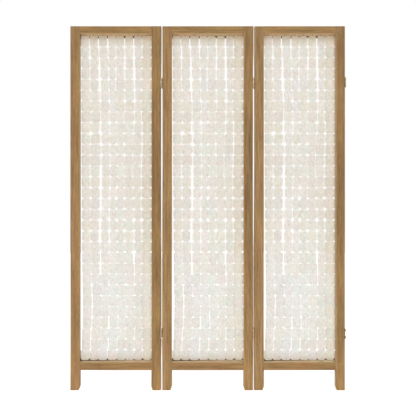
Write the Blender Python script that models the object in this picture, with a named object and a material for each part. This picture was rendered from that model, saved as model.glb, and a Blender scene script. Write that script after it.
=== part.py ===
"""Folding partition screen: three wooden frames side by side, hinged so that they fold, each hung with
strands of shell plates. Sizes are in metres, +Z is up and the front faces -Y."""

import math

import bmesh
import bpy
from mathutils import Matrix, Vector

# Panel frame
panel_height = 1.800
panel_width = 0.446
frame_depth = 0.028
stile_width = 0.0456
top_rail_height = 0.0366
bottom_rail_height = 0.0375
leg_height = 0.100
foot_taper_width = 0.007
foot_taper_height = 0.018

# Tenons that hold the rails in the stiles
tenon_length = 0.024
tenon_thickness = 0.009
tenon_shoulder = 0.006

# Clearance between pieces that are fixed to each other
fit_gap = 0.0003

# Shell strands and the battens that they are tied to
strand_count = 8
shell_count = 30
strand_slack = 0.0156
shell_thickness = 0.0016
corner_width = 0.0085
corner_height = 0.0080
strand_top_clearance = 0.0060
strand_bottom_clearance = 0.0055
batten_height = 0.0170
batten_depth = 0.0060
batten_inset = 0.0011

# Two-way hinges: each has two leaves and a link, with one pin in front and one behind
hinge_height = 0.050
upper_hinge_drop = 0.278
lower_hinge_level = 0.281
leaf_thickness = 0.0012
leaf_inset = 0.0040
barrel_radius = 0.0026
pin_radius = 0.0012
pin_offset = 0.0030
pin_end = 0.0008
knuckle_clearance = 0.0003
link_margin = 0.0002
barrel_sides = 8
link_knuckle_share = 0.36

# How much longer than the wall each cutter is
overrun = 0.002

# Shares of the slack that the nine gaps beside and between the strands take at seven levels, from
# the top shell to the bottom one: the strands drift a little between their fixed ends
level_shares = (0.0, 0.14, 0.35, 0.52, 0.69, 0.86, 1.0)
gap_shares = (
    (1.10, 0.15, 0.30, 0.50, 0.10, 0.35, 0.45, 0.10, 0.10),
    (0.50, 0.30, 0.90, 0.15, 0.10, 0.10, 0.80, 0.10, 0.20),
    (0.80, 0.20, 0.60, 0.30, 0.15, 0.15, 0.25, 0.30, 0.40),
    (0.90, 0.10, 0.90, 0.15, 0.20, 0.20, 0.20, 0.20, 0.30),
    (1.00, 0.10, 0.50, 0.20, 0.20, 0.10, 0.60, 0.20, 0.25),
    (0.80, 0.40, 0.20, 0.50, 0.30, 0.20, 0.30, 0.20, 0.25),
    (0.70, 0.30, 0.30, 0.40, 0.30, 0.20, 0.30, 0.30, 0.35),
)

# Sizes that follow
half_depth = frame_depth / 2
opening_width = panel_width - 2 * stile_width
opening_bottom = leg_height + bottom_rail_height
opening_top = panel_height - top_rail_height
strand_top = opening_top - strand_top_clearance
strand_bottom = opening_bottom + strand_bottom_clearance
shell_pitch = (strand_top - strand_bottom) / shell_count
shell_width = (opening_width - strand_slack) / strand_count
batten_front = half_depth - batten_inset - batten_depth
strand_front = batten_front - fit_gap - shell_thickness
upper_hinge_level = panel_height - upper_hinge_drop
bore_radius = pin_radius + knuckle_clearance
panel_gap = 2 * fit_gap + 4 * barrel_radius - leaf_thickness - 2 * link_margin
pin_inset = fit_gap + barrel_radius
pin_depth = half_depth + pin_offset
link_knuckle = link_knuckle_share * hinge_height
panel_pitch = panel_width + panel_gap
spare_reach = fit_gap + 2 * barrel_radius
left_edge = -(3 * panel_width + 2 * panel_gap + spare_reach) / 2


def clear_scene():
    for obj in list(bpy.data.objects):
        bpy.data.objects.remove(obj)


def make_material(name, colour, roughness, metallic):
    material = bpy.data.materials.new(name)
    material.use_nodes = True
    shader = material.node_tree.nodes["Principled BSDF"]
    shader.inputs["Base Color"].default_value = (*colour, 1)
    shader.inputs["Roughness"].default_value = roughness
    shader.inputs["Metallic"].default_value = metallic
    material.diffuse_color = (*colour, 1)
    return material


def make_mesh(name, build, material):
    """A mesh filled by a function that takes a bmesh, with its faces turned outwards."""
    shape = bmesh.new()
    build(shape)
    bmesh.ops.recalc_face_normals(shape, faces=shape.faces)
    mesh = bpy.data.meshes.new(name)
    shape.to_mesh(mesh)
    shape.free()
    mesh.materials.append(material)
    return mesh


def add_box(shape, low, high):
    centre = (Vector(low) + Vector(high)) / 2
    size = Vector(high) - Vector(low)
    matrix = Matrix.Translation(centre) @ Matrix.Diagonal((*size, 1))
    bmesh.ops.create_cube(shape, size=1, matrix=matrix)


def add_cylinder(shape, centre, radius, bottom, top, sides):
    middle = Vector((centre[0], centre[1], (bottom + top) / 2))
    turn = Matrix.Rotation(math.pi / sides, 4, "Z")
    bmesh.ops.create_cone(
        shape,
        cap_ends=True,
        segments=sides,
        radius1=radius,
        radius2=radius,
        depth=top - bottom,
        matrix=Matrix.Translation(middle) @ turn,
    )


def add_prism(shape, outline, low, high, place):
    """A closed prism over an outline: place(point, level) gives each corner."""
    lower = [shape.verts.new(place(point, low)) for point in outline]
    upper = [shape.verts.new(place(point, high)) for point in outline]
    shape.faces.new(lower)
    shape.faces.new(upper)
    for index in range(len(outline)):
        following = (index + 1) % len(outline)
        shape.faces.new((lower[index], lower[following], upper[following], upper[index]))


def in_plan(point, level):
    return (point[0], point[1], level)


def in_elevation(point, level):
    return (point[0], level, point[1])


def cut_mesh(name, build, material, cutters, join=None):
    """The mesh of a shape with cutters taken away, and with another shape joined to it first."""
    body = bpy.data.objects.new(name, make_mesh(name, build, material))
    bpy.context.scene.collection.objects.link(body)
    helpers = [(join, "UNION")] if join else []
    helpers = [(cutter, "DIFFERENCE") for cutter in cutters] + helpers
    for index, (helper_build, operation) in enumerate(helpers):
        helper_name = f"{name}_helper_{index}"
        helper = bpy.data.objects.new(helper_name, make_mesh(helper_name, helper_build, material))
        helper.hide_render = True
        helper.display_type = "WIRE"
        bpy.context.scene.collection.objects.link(helper)
        modifier = body.modifiers.new(helper_name, "BOOLEAN")
        modifier.operation = operation
        modifier.object = helper
    graph = bpy.context.evaluated_depsgraph_get()
    mesh = bpy.data.meshes.new_from_object(body.evaluated_get(graph))
    mesh.name = name
    for helper in [modifier.object for modifier in body.modifiers]:
        bpy.data.objects.remove(helper)
    bpy.data.objects.remove(body)
    return mesh


def add_axis(name, place, parent=None):
    """An empty on a hinge axis, which carries all that turns about it."""
    axis = bpy.data.objects.new(name, None)
    axis.parent = parent
    origin = parent.matrix_world.translation if parent else Vector()
    axis.location = Vector(place) - origin
    bpy.context.scene.collection.objects.link(axis)
    bpy.context.view_layer.update()
    return axis


def add_piece(name, mesh, place, carrier, turned=False):
    """A named piece at a place in the scene, carried by an axis, turned half round if asked."""
    piece = bpy.data.objects.new(name, mesh)
    piece.parent = carrier
    piece.location = Vector(place) - carrier.matrix_world.translation
    piece.rotation_euler.z = math.pi if turned else 0
    bpy.context.scene.collection.objects.link(piece)
    return piece


# Frame members


def rail_spans():
    """Bottom and top level of the bottom rail and of the top rail."""
    return ((leg_height, opening_bottom), (opening_top, panel_height))


def build_stile(shape):
    """A stile from its outer edge inwards, with the inner side of its foot tapered."""
    outline = (
        (0, 0),
        (stile_width - foot_taper_width, 0),
        (stile_width, foot_taper_height),
        (stile_width, panel_height),
        (0, panel_height),
    )
    add_prism(shape, outline, -half_depth, half_depth, in_elevation)


def build_mortises(shape):
    deep = stile_width - tenon_length - fit_gap
    thick = tenon_thickness / 2 + fit_gap
    for bottom, top in rail_spans():
        low = (deep, -thick, bottom + tenon_shoulder - fit_gap)
        high = (stile_width + overrun, thick, top - tenon_shoulder + fit_gap)
        add_box(shape, low, high)


def rail_builder(height):
    """A rail with a tenon on each end, drawn as one outline of the rail around the tenon's thickness."""

    def build(shape):
        half_length = opening_width / 2 - fit_gap
        add_box(shape, (-half_length, -half_depth, 0), (half_length, half_depth, height))
        for side in (-1, 1):
            shape.normal_update()
            end = [face for face in shape.faces if round(face.normal.x) == side]
            made = bmesh.ops.extrude_face_region(shape, geom=end)
            cap = [face for face in made["geom"] if isinstance(face, bmesh.types.BMFace)]
            bmesh.ops.delete(shape, geom=end, context="FACES_ONLY")
            corners = cap[0].verts
            for corner in corners:
                corner.co.y = math.copysign(tenon_thickness / 2, corner.co.y)
                corner.co.z += tenon_shoulder if corner.co.z < height / 2 else -tenon_shoulder
            made = bmesh.ops.extrude_face_region(shape, geom=cap)
            tip = [vert for vert in made["geom"] if isinstance(vert, bmesh.types.BMVert)]
            bmesh.ops.delete(shape, geom=cap, context="FACES_ONLY")
            bmesh.ops.translate(shape, verts=tip, vec=(side * (tenon_length + fit_gap), 0, 0))

    return build


def build_batten(shape):
    half_length = opening_width / 2 - fit_gap
    low = (-half_length, batten_front, 0)
    high = (half_length, batten_front + batten_depth, batten_height)
    add_box(shape, low, high)


# Shell strands


def gaps_at(level_share):
    """Widths of the gaps beside and between the strands at a share of the way down."""
    below = next(index for index, share in enumerate(level_shares) if index and level_share <= share)
    above = below - 1
    along = (level_share - level_shares[above]) / (level_shares[below] - level_shares[above])
    blend = along * along * (3 - 2 * along)
    shares = [a + (b - a) * blend for a, b in zip(gap_shares[above], gap_shares[below])]
    return [strand_slack * share / sum(shares) for share in shares]


def shell_centre(strand, row):
    """Place of a shell across the opening, from the opening's middle."""
    gaps = gaps_at(row / (shell_count - 1))
    left = -opening_width / 2 + sum(gaps[: strand + 1]) + strand * shell_width
    return left + shell_width / 2


def strand_builder(strand):
    """Shells threaded one under another, each meeting the next across its straight middle."""

    def build(shape):
        centres = [shell_centre(strand, row) for row in range(shell_count)]
        half_neck = shell_width / 2 - corner_width
        half_shell = shell_width / 2
        necks = [centres[0]]
        necks += [(above + below) / 2 for above, below in zip(centres, centres[1:])]
        necks.append(centres[-1])

        def station(x, half_width, level):
            return [
                shape.verts.new((x + side * half_width, depth, level))
                for side, depth in (
                    (-1, strand_front),
                    (1, strand_front),
                    (1, strand_front + shell_thickness),
                    (-1, strand_front + shell_thickness),
                )
            ]

        neck = station(necks[0], half_neck, strand_top)
        shape.faces.new(neck)
        for row, centre in enumerate(centres):
            top = strand_top - row * shell_pitch
            bottom = top - shell_pitch
            upper = station(centre, half_shell, top - corner_height)
            lower = station(centre, half_shell, bottom + corner_height)
            following = station(necks[row + 1], half_neck, bottom)
            corners = (neck, upper, lower, following)
            for left, right in ((0, 1), (2, 3)):
                down = [ring[left] for ring in corners]
                up = [ring[right] for ring in reversed(corners)]
                shape.faces.new(down + up)
            for above, below in zip(corners, corners[1:]):
                shape.faces.new((above[1], above[2], below[2], below[1]))
                shape.faces.new((above[3], above[0], below[0], below[3]))
            neck = following
        shape.faces.new(neck)

    return build


# Hinges, drawn about the middle of the gap between two panels


def arc(centre, radius, start, end):
    """Points round a barrel from one angle to another, in degrees, with its sides of equal length."""
    step = 360 / barrel_sides
    angles = [start]
    while angles[-1] + step < end - step / 4:
        angles.append(angles[-1] + step)
    angles.append(end)
    return [
        (
            centre[0] + radius * math.cos(math.radians(angle)),
            centre[1] + radius * math.sin(math.radians(angle)),
        )
        for angle in angles
    ]


def front_pin():
    return (-panel_gap / 2 + pin_inset, -pin_depth)


def leaf_zone():
    """Lowest and highest level of the gap in a leaf's barrel, where the link's knuckle turns."""
    half = link_knuckle / 2 + knuckle_clearance
    return (-half, half)


def build_leaf(shape):
    """A leaf of full height, on the edge of the panel at the left, with its barrel at the front."""
    pin = front_pin()
    outer = -panel_gap / 2 + fit_gap
    inner = outer + leaf_thickness
    back = half_depth - leaf_inset
    meet = math.degrees(math.acos((leaf_thickness - barrel_radius) / barrel_radius))
    outline = [(outer, back)]
    outline += arc(pin, barrel_radius, 180, 360 + meet)
    outline.append((inner, back))
    add_prism(shape, outline, -hinge_height / 2, hinge_height / 2, in_plan)


def build_leaf_slot(shape):
    pin = front_pin()
    reach = barrel_radius + knuckle_clearance
    bottom, top = leaf_zone()
    low = (pin[0] - reach - overrun, pin[1] - reach - overrun, bottom)
    high = (pin[0] + reach + overrun, pin[1] + reach, top)
    add_box(shape, low, high)


def build_leaf_bore(shape):
    half = hinge_height / 2 + overrun
    add_cylinder(shape, front_pin(), bore_radius, -half, half, barrel_sides)


def build_link(shape):
    """The link of full height: a plate across the gap from the front barrel to the back one."""
    pin = front_pin()
    half_plate = leaf_thickness / 2
    meet = math.degrees(math.acos((-half_plate - pin[0]) / barrel_radius))
    near = math.degrees(math.acos((half_plate - pin[0]) / barrel_radius))
    front = arc(pin, barrel_radius, meet, 360 + near)
    back = [(-x, -y) for x, y in front]
    add_prism(shape, front + back, -hinge_height / 2, hinge_height / 2, in_plan)


def build_link_slots(shape):
    """Room for the leaves' knuckles, above and below the link's own."""
    reach = barrel_radius + knuckle_clearance
    half_width = panel_gap / 2 + overrun
    knuckle = link_knuckle / 2
    far = hinge_height / 2 + overrun
    near_depth = pin_depth - reach
    far_depth = pin_depth + reach + overrun
    for bottom, top in ((-far, -knuckle), (knuckle, far)):
        add_box(shape, (-half_width, -far_depth, bottom), (half_width, -near_depth, top))
        add_box(shape, (-half_width, near_depth, bottom), (half_width, far_depth, top))


def build_pins(shape):
    half = hinge_height / 2 + pin_end
    pin = front_pin()
    for side in (1, -1):
        add_cylinder(shape, (side * pin[0], side * pin[1]), pin_radius, -half, half, barrel_sides)


# The whole screen


def panel_left(index):
    """Left edge of a panel, counted from the left."""
    return left_edge + index * panel_pitch


def gap_middle(index):
    """Middle of the gap at the right of a panel."""
    return panel_left(index) + panel_width + panel_gap / 2


def add_panel(name, index, carrier, meshes):
    left = panel_left(index)
    middle = left + panel_width / 2
    add_piece(f"{name}_stile_left", meshes["stile"], (left, 0, 0), carrier)
    add_piece(f"{name}_stile_right", meshes["stile"], (left + panel_width, 0, 0), carrier, turned=True)
    add_piece(f"{name}_rail_top", meshes["rail_top"], (middle, 0, opening_top), carrier)
    add_piece(f"{name}_rail_bottom", meshes["rail_bottom"], (middle, 0, leg_height), carrier)
    top_level = opening_top - fit_gap - batten_height
    bottom_level = opening_bottom + fit_gap
    add_piece(f"{name}_batten_top", meshes["batten"], (middle, 0, top_level), carrier)
    add_piece(f"{name}_batten_bottom", meshes["batten"], (middle, 0, bottom_level), carrier)
    for strand, mesh in enumerate(meshes["strands"]):
        add_piece(f"{name}_strand_{strand + 1}", mesh, (middle, 0, 0), carrier)


def add_hinges(name, index, left_carrier, link_carrier, right_carrier, meshes):
    """The upper and lower hinge at the right of a panel: a leaf on each side and the link between."""
    middle = gap_middle(index)
    for place, level in (("upper", upper_hinge_level), ("lower", lower_hinge_level)):
        centre = (middle, 0, level)
        add_piece(f"{name}_{place}_hinge_front_leaf", meshes["leaf"], centre, left_carrier)
        add_piece(f"{name}_{place}_hinge_link", meshes["link"], centre, link_carrier)
        add_piece(f"{name}_{place}_hinge_back_leaf", meshes["leaf"], centre, right_carrier, turned=True)


def main():
    clear_scene()
    stile_wood = make_material("stile_wood", (0.33, 0.20, 0.085), 0.55, 0.0)
    rail_wood = make_material("rail_wood", (0.34, 0.21, 0.09), 0.55, 0.0)
    batten_wood = make_material("batten_wood", (0.22, 0.12, 0.05), 0.65, 0.0)
    shell = make_material("shell", (0.83, 0.79, 0.70), 0.30, 0.0)
    hinge_metal = make_material("hinge_metal", (0.30, 0.25, 0.18), 0.40, 1.0)

    meshes = {
        "stile": cut_mesh("stile", build_stile, stile_wood, [build_mortises]),
        "rail_top": make_mesh("rail_top", rail_builder(top_rail_height), rail_wood),
        "rail_bottom": make_mesh("rail_bottom", rail_builder(bottom_rail_height), rail_wood),
        "batten": make_mesh("batten", build_batten, batten_wood),
        "strands": [
            make_mesh(f"strand_{strand + 1}", strand_builder(strand), shell)
            for strand in range(strand_count)
        ],
        "leaf": cut_mesh("leaf", build_leaf, hinge_metal, [build_leaf_slot, build_leaf_bore]),
        "link": cut_mesh("link", build_link, hinge_metal, [build_link_slots], join=build_pins),
    }

    pin_x, pin_y = front_pin()
    middle_panel = add_axis("middle_panel", (0, 0, 0))
    left_link = add_axis("left_link", (gap_middle(0) - pin_x, -pin_y, 0), middle_panel)
    left_panel = add_axis("left_panel", (gap_middle(0) + pin_x, pin_y, 0), left_link)
    right_link = add_axis("right_link", (gap_middle(1) + pin_x, pin_y, 0), middle_panel)
    right_panel = add_axis("right_panel", (gap_middle(1) - pin_x, -pin_y, 0), right_link)

    add_panel("left", 0, left_panel, meshes)
    add_panel("middle", 1, middle_panel, meshes)
    add_panel("right", 2, right_panel, meshes)
    add_hinges("left", 0, left_panel, left_link, middle_panel, meshes)
    add_hinges("right", 1, middle_panel, right_link, right_panel, meshes)
    for place, level in (("upper", upper_hinge_level), ("lower", lower_hinge_level)):
        add_piece(f"spare_{place}_hinge_leaf", meshes["leaf"], (gap_middle(2), 0, level), right_panel)


main()
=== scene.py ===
# Folding partition screen: three wooden frames hung with shell strands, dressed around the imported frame
import math
import random

import bpy
from mathutils import Matrix, Vector


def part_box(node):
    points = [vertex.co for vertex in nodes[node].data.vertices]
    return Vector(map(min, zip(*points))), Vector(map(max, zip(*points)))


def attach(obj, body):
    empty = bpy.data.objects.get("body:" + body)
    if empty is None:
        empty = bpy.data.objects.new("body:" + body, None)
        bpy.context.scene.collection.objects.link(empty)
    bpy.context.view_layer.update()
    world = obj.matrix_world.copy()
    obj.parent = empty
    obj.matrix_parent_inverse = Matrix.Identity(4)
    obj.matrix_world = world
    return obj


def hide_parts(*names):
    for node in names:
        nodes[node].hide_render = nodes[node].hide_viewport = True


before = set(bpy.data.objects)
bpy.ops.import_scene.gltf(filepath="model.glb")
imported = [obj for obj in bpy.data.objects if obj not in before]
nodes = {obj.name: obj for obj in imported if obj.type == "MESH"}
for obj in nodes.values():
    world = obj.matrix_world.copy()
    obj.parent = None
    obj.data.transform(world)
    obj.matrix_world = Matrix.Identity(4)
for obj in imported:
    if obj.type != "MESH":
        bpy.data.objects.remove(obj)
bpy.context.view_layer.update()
panels = {"left": "left_panel", "middle": "middle_panel", "right": "right_panel"}
print("frame loaded,", len(nodes), "nodes")


# Small helpers for working as by hand

samePlace = 0.00001  # what lies closer than this is at one place


def deselectAll():
    if bpy.context.mode != "OBJECT":
        bpy.ops.object.mode_set(mode="OBJECT")
    bpy.ops.object.select_all(action="DESELECT")


def pick(*pieces):
    deselectAll()
    for piece in pieces:
        piece.select_set(True)
    bpy.context.view_layer.objects.active = pieces[-1]


def editAll(piece):
    pick(piece)
    bpy.ops.object.mode_set(mode="EDIT")
    bpy.ops.mesh.select_all(action="SELECT")


def leaveEdit():
    bpy.ops.object.mode_set(mode="OBJECT")


def clearPicks(piece, kind):
    # edit mode in edge or face picking with nothing selected, and back, so that code can select
    editAll(piece)
    bpy.ops.mesh.select_mode(type=kind)
    bpy.ops.mesh.select_all(action="DESELECT")
    leaveEdit()


def selectFaces(piece, wanted):
    # opens edit mode with only the faces that pass the test, given middle and normal
    clearPicks(piece, "FACE")
    for face in piece.data.polygons:
        face.select = wanted(face.center, face.normal)
    bpy.ops.object.mode_set(mode="EDIT")


def softenEdges(piece, wanted, width, steps):
    # rounds only the edges that pass the test, given both ends
    clearPicks(piece, "EDGE")
    mesh = piece.data
    for edge in mesh.edges:
        edge.select = wanted(*[mesh.vertices[index].co for index in edge.vertices])
    bpy.ops.object.mode_set(mode="EDIT")
    bpy.ops.mesh.bevel(offset=width, segments=steps, affect="EDGES")
    leaveEdit()


def cutAcross(piece, point, normal):
    # a line of edges all round where the plane passes, with nothing taken away
    editAll(piece)
    bpy.ops.mesh.bisect(plane_co=point, plane_no=normal)
    leaveEdit()


def newObject(name, data):
    made = bpy.data.objects.new(name, data)
    bpy.context.scene.collection.objects.link(made)
    return made


def applyPlace(piece):
    # the place, turn and size go into the mesh
    pick(piece)
    bpy.ops.object.transform_apply(location=True, rotation=True, scale=True)


def settle(piece):
    applyPlace(piece)
    editAll(piece)
    bpy.ops.mesh.normals_make_consistent(inside=False)
    leaveEdit()


def addBox(low, high, bevel=0.0, steps=2):
    deselectAll()
    middle = [(a + b) / 2 for a, b in zip(low, high)]
    bpy.ops.mesh.primitive_cube_add(size=1, location=middle)
    piece = bpy.context.object
    piece.scale = [b - a for a, b in zip(low, high)]
    settle(piece)
    if bevel:
        softenEdges(piece, lambda a, b: True, bevel, steps)
    return piece


def addRod(x, y, low, high, radius, sides, bevel, steps=2):
    # an upright round bar with softened ends
    deselectAll()
    place = (x, y, (low + high) / 2)
    bpy.ops.mesh.primitive_cylinder_add(vertices=sides, radius=radius, depth=high - low, location=place)
    piece = bpy.context.object
    settle(piece)
    softenEdges(piece, lambda a, b: near(a.z, b.z), bevel, steps)
    return piece


def joinAs(name, pieces):
    pick(*pieces)
    bpy.ops.object.join()
    piece = bpy.context.object
    piece.name = name
    piece.data.name = name
    return piece


def copyAs(name, source, matrix):
    # a copy with a mesh of its own, placed in that mesh
    piece = newObject(name, source.data.copy())
    piece.data.name = name
    piece.data.transform(matrix)
    return piece


def smooth(piece, degrees):
    pick(piece)
    bpy.ops.object.shade_smooth_by_angle(angle=math.radians(degrees))


def weighNormals(piece):
    # broad faces stay flat and only the softened edges shade round
    pick(piece)
    bpy.ops.object.shade_smooth()
    bpy.ops.object.modifier_add(type="WEIGHTED_NORMAL")
    piece.modifiers[-1].keep_sharp = False
    bpy.ops.object.modifier_apply(modifier=piece.modifiers[-1].name)


def near(value, wanted):
    return abs(value - wanted) < samePlace


def ramp(value, low, high):
    # 0 at low and beyond it, 1 at high, and straight between
    return min(max((value - low) / (high - low), 0.0), 1.0)


def paint(piece, *materials):
    piece.data.materials.clear()
    for material in materials:
        piece.data.materials.append(material)


def finishAs(name, parts, degrees, material):
    piece = joinAs(name, parts)
    smooth(piece, degrees)
    paint(piece, material)
    return piece


# Finishes

def screenColour(red, green, blue):
    # a colour as seen on a screen, 0 to 255, as shaders take it
    return tuple(((value / 255 + 0.055) / 1.055) ** 2.4 for value in (red, green, blue)) + (1,)


nodeRow = {"length": 8, "across": 220, "down": 400}


def addNode(tree, kind, inputs=None, **settings):
    # the nodes of a tree stand in rows, in the order in which they are made
    line, column = divmod(len(tree.nodes), nodeRow["length"])
    node = tree.nodes.new(kind)
    node.location = (nodeRow["across"] * column, -nodeRow["down"] * line)
    for key, value in settings.items():
        setattr(node, key, value)
    for key, value in (inputs or {}).items():
        if isinstance(value, bpy.types.NodeSocket):
            tree.links.new(value, node.inputs[key])
        else:
            node.inputs[key].default_value = value
    return node


def blendColours(tree, factor, first, second, mode="MIX"):
    inputs = {0: factor, 6: first, 7: second}
    return addNode(tree, "ShaderNodeMix", inputs, data_type="RGBA", blend_type=mode).outputs[2]


def multiplyColours(tree, first, second):
    return blendColours(tree, 1.0, first, second, "MULTIPLY")


def spread(tree, value, low, high, newLow=0.0, newHigh=1.0):
    inputs = {"Value": value, 1: low, 2: high, 3: newLow, 4: newHigh}
    return addNode(tree, "ShaderNodeMapRange", inputs).outputs[0]


def mathNode(tree, operation, first, second=0.0):
    return addNode(tree, "ShaderNodeMath", {0: first, 1: second}, operation=operation).outputs[0]


def stretchNode(tree, vector, scale):
    return addNode(tree, "ShaderNodeMapping", {"Vector": vector, "Scale": scale}).outputs[0]


def heightOf(tree, vector):
    return addNode(tree, "ShaderNodeSeparateXYZ", {"Vector": vector}).outputs[2]


def greyOf(tree, value):
    return addNode(tree, "ShaderNodeCombineColor", {0: value, 1: value, 2: value}).outputs[0]


def noiseLayer(tree, vector, scale, detail, roughness, *reach):
    # a noise, and the same spread from the first two numbers of its reach to the last two, or to 0 and 1
    inputs = {"Vector": vector, "Scale": scale, "Detail": detail, "Roughness": roughness}
    noise = addNode(tree, "ShaderNodeTexNoise", inputs).outputs[0]
    return noise, spread(tree, noise, *reach)


def openGroup(name, vectors, colours, values):
    # every group of a finish gives a colour, a roughness and a height
    group = bpy.data.node_groups.new(name, "ShaderNodeTree")
    for kind, sockets in (("Vector", vectors), ("Color", colours), ("Float", values)):
        for socket in sockets:
            group.interface.new_socket(socket, in_out="INPUT", socket_type="NodeSocket" + kind)
    for socket, kind in (("Color", "Color"), ("Roughness", "Float"), ("Height", "Float")):
        group.interface.new_socket(socket, in_out="OUTPUT", socket_type="NodeSocket" + kind)
    return group, addNode(group, "NodeGroupInput").outputs


def closeGroup(group, *results):
    for result, socket in zip(results, addNode(group, "NodeGroupOutput").inputs):
        group.links.new(result, socket)
    return group


# In these looks a layer of noise has its scale, detail and roughness first, and its reach after them
grainLook = {
    "long": (1, 1, 0.06),
    "short": (1, 1, 0.30),
    "zones": (17.0, 2.0, 0.5, 0.32, 0.68, -0.35, 0.35),
    "figure": (95.0, 3.0, 0.6, 0.32, 0.68, -1.0, 1.0),
    "lines": (420.0, 2.0, 0.5, 0.35, 0.65, -0.6, 0.6),
    "pores": (950.0, 1.0, 0.5, 0.60, 0.72),
    "hues": (34.0, 2.0, 0.5, 0.38, 0.62),
    "redder": (1.032, 0.982, 0.985, 1),
    "greener": (0.968, 1.014, 0.97, 1),
    "inPores": (0.10, 0.055, 0.02, 1),
    "foot": (0.08, 0.42, 1.0, 0.0),
    "middle": 1.00,
    "aroundMiddle": (0.05, 0.42, 1.0, 0.0),
    "roughness": (0.3, 0.7, 0.50, 0.66),
}


def buildGrain():
    # wood grain that runs along Z of the vector: broad figure, fine lines, pores and a slow drift of hue
    look = grainLook
    values = ["Contrast", "Pores", "FootPaintedLight", "MiddleShade"]
    group, given = openGroup("grain", ["Vector"], ["Middle"], values)
    long = stretchNode(group, given["Vector"], look["long"])
    short = stretchNode(group, given["Vector"], look["short"])
    zones = noiseLayer(group, short, *look["zones"])[1]
    figure = noiseLayer(group, long, *look["figure"])[1]
    lines, lineStep = noiseLayer(group, long, *look["lines"])
    total = mathNode(group, "ADD", mathNode(group, "ADD", zones, figure), lineStep)
    total = mathNode(group, "MULTIPLY", total, given["Contrast"])
    tone = greyOf(group, mathNode(group, "ADD", total, 1.0))
    # redder and greener stretches, both as bright as the middle colour
    hues = noiseLayer(group, short, *look["hues"])[1]
    hueColour = blendColours(group, hues, look["redder"], look["greener"])
    # a stile is lighter towards its foot with painted light as from the floor, and may be darker half way up
    height = heightOf(group, given["Vector"])
    foot = mathNode(group, "MULTIPLY", spread(group, height, *look["foot"]), given["FootPaintedLight"])
    away = mathNode(group, "ABSOLUTE", mathNode(group, "SUBTRACT", height, look["middle"]))
    middle = spread(group, away, *look["aroundMiddle"])
    middle = mathNode(group, "MULTIPLY", middle, given["MiddleShade"])
    shade = greyOf(group, mathNode(group, "ADD", mathNode(group, "SUBTRACT", foot, middle), 1.0))
    pores = noiseLayer(group, long, *look["pores"])[1]
    pores = mathNode(group, "MULTIPLY", pores, given["Pores"])
    wood = given["Middle"]
    for layer in (tone, hueColour, shade):
        wood = multiplyColours(group, wood, layer)
    wood = blendColours(group, pores, wood, look["inPores"])
    roughness = spread(group, lines, *look["roughness"])
    return closeGroup(group, wood, roughness, mathNode(group, "SUBTRACT", lines, pores))


pearlLook = {
    "bend": 22.0,
    "bendBy": 0.010,
    "long": (1, 1, 0.22),
    "lines": (300.0, 2.0, 0.6, 0.32, 0.68, -1.0, 1.0),
    "clouds": (60.0, 3.0, 0.6, 0.32, 0.68, -0.6, 0.6),
    "toneReach": (-0.2, 0.2),
    "browner": (0.83, 0.80, 0.75, 1),
    "paler": (1.17, 1.20, 1.25, 1),
    "play": (42.0, 1.0, 0.5, 0.36, 0.64),
    "tan": (1.020, 0.984, 0.980, 1),
    "greyGreen": (0.980, 1.010, 1.012, 1),
    "topShadeBand": (0.070, 0.003),
    "topFade": 1.8,
    "topPaintedShade": (0.92, 0.80, 0.67, 1),
    "bottomShadeBand": 0.042,
    "bottomPaintedShade": (0.84, 0.785, 0.71, 1),
    "roughness": (0.3, 0.7, 0.30, 0.46),
}


def buildPearl():
    # the surface of a shell plate: growth lines down it, pale clouds, and painted brown shade where the
    # plates hang before the battens
    look = pearlLook
    group, given = openGroup("pearl", ["Vector", "Shift"], ["Tint"], ["Contrast"])
    moved = addNode(group, "ShaderNodeVectorMath", {0: given["Vector"], 1: given["Shift"]}).outputs[0]
    bend = addNode(group, "ShaderNodeTexNoise", {"Vector": moved, "Scale": look["bend"]}).outputs[1]
    inputs = {0: bend, 3: look["bendBy"]}
    bend = addNode(group, "ShaderNodeVectorMath", inputs, operation="SCALE").outputs[0]
    bent = addNode(group, "ShaderNodeVectorMath", {0: moved, 1: bend}).outputs[0]
    lines, lineStep = noiseLayer(group, stretchNode(group, bent, look["long"]), *look["lines"])
    clouds, cloudStep = noiseLayer(group, bent, *look["clouds"])
    total = mathNode(group, "ADD", lineStep, cloudStep)
    total = mathNode(group, "MULTIPLY", total, given["Contrast"])
    # what is darker is also a little browner
    total = spread(group, total, *look["toneReach"])
    tone = blendColours(group, total, look["browner"], look["paler"])
    colour = multiplyColours(group, given["Tint"], tone)
    # a faint play of tan and grey green
    play = noiseLayer(group, bent, *look["play"])[1]
    colour = multiplyColours(group, colour, blendColours(group, play, look["tan"], look["greyGreen"]))
    # painted shade under the rails at the top and bottom of the opening, brown where the battens show
    # through the thin shell
    height = heightOf(group, given["Vector"])
    low, high = [corner.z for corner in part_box("middle_strand_1")]
    above = spread(group, height, *[high - drop for drop in look["topShadeBand"]])
    above = mathNode(group, "POWER", above, look["topFade"])
    below = spread(group, height, low + look["bottomShadeBand"], low)
    for share, paintedShade in ((above, look["topPaintedShade"]), (below, look["bottomPaintedShade"])):
        colour = blendColours(group, share, colour, multiplyColours(group, colour, paintedShade))
    return closeGroup(group, colour, spread(group, clouds, *look["roughness"]), lines)


tarnishLook = {
    "amount": 0.9,
    "relief": (0.15, 0.0002),
    "patches": (160.0, 4.0, 0.6, 0.35, 0.65),
    "specks": (1400.0, 2.0, 0.5, 0.3, 0.7, 0.0, 0.25),
    "roughness": (0.0, 1.0, 0.34, 0.58),
}


def buildTarnish():
    # dull brown film on metal, thicker in patches, with fine rubbing marks
    look = tarnishLook
    group, given = openGroup("tarnish", ["Vector"], ["Clean", "Dull"], ["Amount"])
    patches = noiseLayer(group, given["Vector"], *look["patches"])[1]
    specks, speckTone = noiseLayer(group, given["Vector"], *look["specks"])
    film = mathNode(group, "MULTIPLY", patches, given["Amount"])
    colour = blendColours(group, film, given["Clean"], given["Dull"])
    colour = blendColours(group, speckTone, colour, given["Dull"])
    return closeGroup(group, colour, spread(group, film, *look["roughness"]), specks)


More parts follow.
